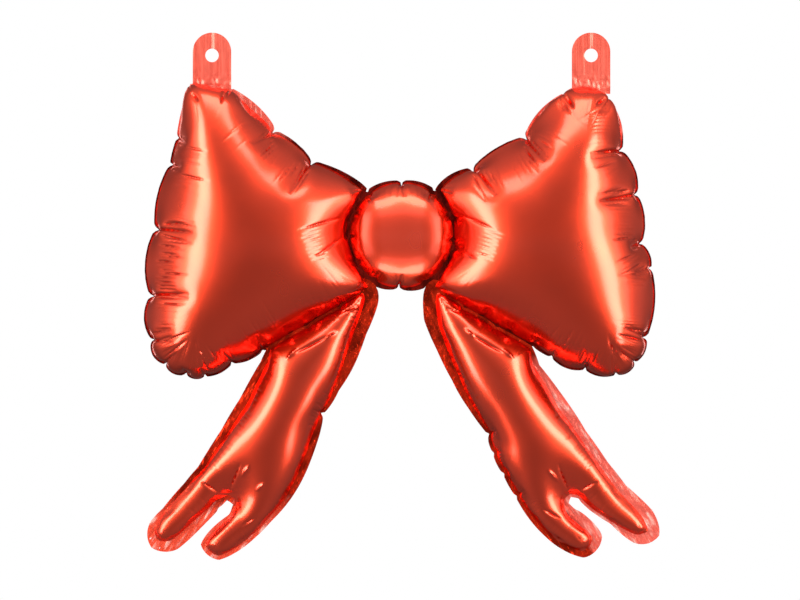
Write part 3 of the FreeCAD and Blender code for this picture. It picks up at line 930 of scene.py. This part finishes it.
foil = foil_finish()
TAIL_TURN = math.radians(32)       # of a tail's run from upright
RIM_SHADE_RED = (0.20, 0.008, 0.004)     # of the narrow margins: painted shade, as they are turned back into the shade
MARGIN_RED = (0.86, 0.035, 0.008)
# Painted light on the tails' margins, a lighter red with pinkish-white streaks: on the left tail from z
# -285 mm down, and on the right tail on its outer side from z -194 mm down.
margin_finishes = {
    "left_tail": margin_finish("left_margin", -TAIL_TURN, MARGIN_RED, (0.83, 0.06, 0.02),
                               ((0, 0, -1), 0.285, 0.300)),
    "right_tail": margin_finish("right_margin", TAIL_TURN, MARGIN_RED, (0.80, 0.11, 0.075),
                                ((0.815, 0, 0.576), -0.086, -0.079), ((0, 0, -1), 0.194, 0.202)),
}
# The loops' and the knot's margins: painted shade in near black-red, and from z -56 mm up, where the left
# loop's margin is wide, painted light in a lighter red with pinkish-white streaks.
loop_margin = margin_finish("loop_margin", 0.0, RIM_SHADE_RED, (0.80, 0.11, 0.07), ((0, 0, 1), -0.056, -0.048))
tab_film = tab_finish()


def hinge_blend(piece, side, member):
    """Bake a piece's place into its mesh; it is not bent over any hinge."""
    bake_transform(piece)


for chamber in chambers:
    pieces = []
    for face in ("front", "rear"):
        piece = make_foil(chamber, face)
        piece.data.materials.append(foil)
        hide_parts(f"{chamber.name}_{face}_foil")
        pieces.append(piece)
    piece = make_margin(chamber, *(TAIL_MARGIN if "tail" in chamber.name else NARROW_MARGIN))
    piece.data.materials.append(margin_finishes.get(chamber.name, loop_margin))
    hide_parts(f"{chamber.name}_seam")
    pieces.append(piece)
    if chamber.name == "knot":
        knot_pieces = pieces
    for piece in pieces:
        if chamber.name == "knot":
            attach(piece, "knot")
        else:
            hinge_blend(piece, *chamber.name.split("_"))

for side in ("left", "right"):
    piece = make_tab(side)
    piece.data.materials.append(tab_film)
    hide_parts(f"{side}_hang_tab")
    hinge_blend(piece, side, "tab")

valve_film = valve_finish()
for face in ("front", "rear"):
    film = frame["nodes"][f"valve_{face}_film"]
    film.data.materials.clear()
    film.data.materials.append(valve_film)

# ---------------------------------------------------------------------------------------
# Studio.

VIEW_WIDTH = 0.520     # across the picture, at the film plane
VIEW_CENTRE = Vector((-0.001, 0.0, -0.159))
DISTANCE = 2.2
# How bright the room is: from 0, in front of the bow, to 1, behind it, and from 0, below,
# to 1, above, where the curves are multiplied.
ROOM_DEPTH = [(0.0, 0.37), (0.04, 0.43), (0.1, 0.60), (0.2, 0.72), (0.5, 0.66), (0.75, 0.34), (1.0, 0.25)]
ROOM_HEIGHT = [(0.0, 0.42), (0.25, 0.60), (0.42, 0.72), (0.5, 1.0), (0.58, 0.75), (0.75, 0.85), (1.0, 0.9)]

camera = bpy.data.objects.new("camera", bpy.data.cameras.new("camera"))
bpy.context.scene.collection.objects.link(camera)
camera.location = VIEW_CENTRE - Vector((0, DISTANCE, 0))
camera.rotation_euler = (math.pi / 2, 0, 0)
camera.data.lens = camera.data.sensor_width * DISTANCE / VIEW_WIDTH
bpy.context.scene.camera = camera
bpy.context.scene.view_settings.view_transform = "Standard"

FLOOR = -0.6
floor_mesh = bpy.data.meshes.new("floor")
floor_corners = [(-5, -5, FLOOR), (5, -5, FLOOR), (5, 2.4, FLOOR), (-5, 2.4, FLOOR)]
floor_mesh.from_pydata(floor_corners, [], [(0, 1, 2, 3)])
floor = bpy.data.objects.new("floor", floor_mesh)
bpy.context.scene.collection.objects.link(floor)
paint = Finish("floor_paint", (0.9, 0.9, 0.9), 0.8, metallic=0.0)
floor.data.materials.append(paint.material)
floor.visible_glossy = False


def soft_box(name, turn, height, distance, size, power, only=None, never=None):
    """A soft box round the bow: its turn from the front, its height angle and its size.

    With only, it lights nothing but those pieces, and nothing else shades them from it. With
    never, it doesn't light them, as with a flag in front of it.
    """
    lamp = bpy.data.lights.new(name, "AREA")
    lamp.shape = "RECTANGLE"
    lamp.size, lamp.size_y = size
    lamp.energy = power
    made = bpy.data.objects.new(name, lamp)
    turn, height = math.radians(turn), math.radians(height)
    away = Vector((math.sin(turn) * math.cos(height), -math.cos(turn) * math.cos(height), math.sin(height)))
    made.location = VIEW_CENTRE + away * distance
    made.rotation_euler = (-away).to_track_quat("-Z", "Y").to_euler()
    made.visible_camera = False
    bpy.context.scene.collection.objects.link(made)
    if only or never:
        chosen = bpy.data.collections.new(f"{name}_flag")
        for piece in only or never:
            chosen.objects.link(piece)
        made.light_linking.receiver_collection = chosen
        if only:
            made.light_linking.blocker_collection = chosen
        for entry in chosen.collection_objects:
            entry.light_linking.link_state = "INCLUDE" if only else "EXCLUDE"


SIDES = (("left", -1), ("right", 1))
for side, sign in SIDES:
    soft_box(f"{side}_box", sign * 52, 4, 1.6, (0.50, 1.7), 22, never=knot_pieces)
for side, sign in SIDES:
    soft_box(f"{side}_wall", sign * 62, 10, 2.0, (1.0, 1.6), 8)
soft_box("top_box", 0, 58, 1.6, (1.6, 0.6), 16, never=knot_pieces)
for height, size, power, kind in ((60, (1.9, 0.8), 27, "box"), (38, (1.6, 0.6), 3, "fill")):
    soft_box(f"knot_top_{kind}", 0, height, 1.6, size, power, only=knot_pieces)
    soft_box(f"knot_low_{kind}", 0, -height, 1.6, size, power, only=knot_pieces)
for side, sign in SIDES:
    soft_box(f"knot_{side}_box", sign * 80, 0, 1.6, (2.6, 1.6), 13, only=knot_pieces)
soft_box("knot_front_box", 0, 0, 1.6, (1.4, 1.4), 1.5, only=knot_pieces)
for side, sign in SIDES:
    soft_box(f"rear_{side}_box", sign * 145, 8, 1.8, (0.25, 1.7), 3, never=[floor])

world = bpy.data.worlds.new("world")
bpy.context.scene.world = world
world.use_nodes = True
nodes, links = world.node_tree.nodes, world.node_tree.links
background = nodes["Background"]
way = nodes.new("ShaderNodeTexCoord")
parts = nodes.new("ShaderNodeSeparateXYZ")
links.new(way.outputs["Generated"], parts.inputs[0])


def room_curve(axis, stops):
    """How the room's brightness changes along one axis of the way looked in."""
    share = nodes.new("ShaderNodeMapRange")
    share.inputs["From Min"].default_value = -1.0
    links.new(parts.outputs[axis], share.inputs["Value"])
    made = nodes.new("ShaderNodeFloatCurve")
    curve = made.mapping.curves[0]
    for at, value in stops:
        if at in (0.0, 1.0):
            curve.points[int(at)].location = (at, value)
        else:
            curve.points.new(at, value)
    made.mapping.update()
    links.new(share.outputs[0], made.inputs["Value"])
    return made.outputs[0]


room = nodes.new("ShaderNodeMath")
room.operation = "MULTIPLY"
links.new(room_curve("Y", ROOM_DEPTH), room.inputs[0])
links.new(room_curve("Z", ROOM_HEIGHT), room.inputs[1])
ray = nodes.new("ShaderNodeLightPath")
seen = nodes.new("ShaderNodeMix")
links.new(ray.outputs["Is Camera Ray"], seen.inputs[0])
links.new(room.outputs[0], seen.inputs[2])
seen.inputs[3].default_value = 1.0
background.inputs["Color"].default_value = (1, 1, 1, 1)
links.new(seen.outputs[0], background.inputs["Strength"])
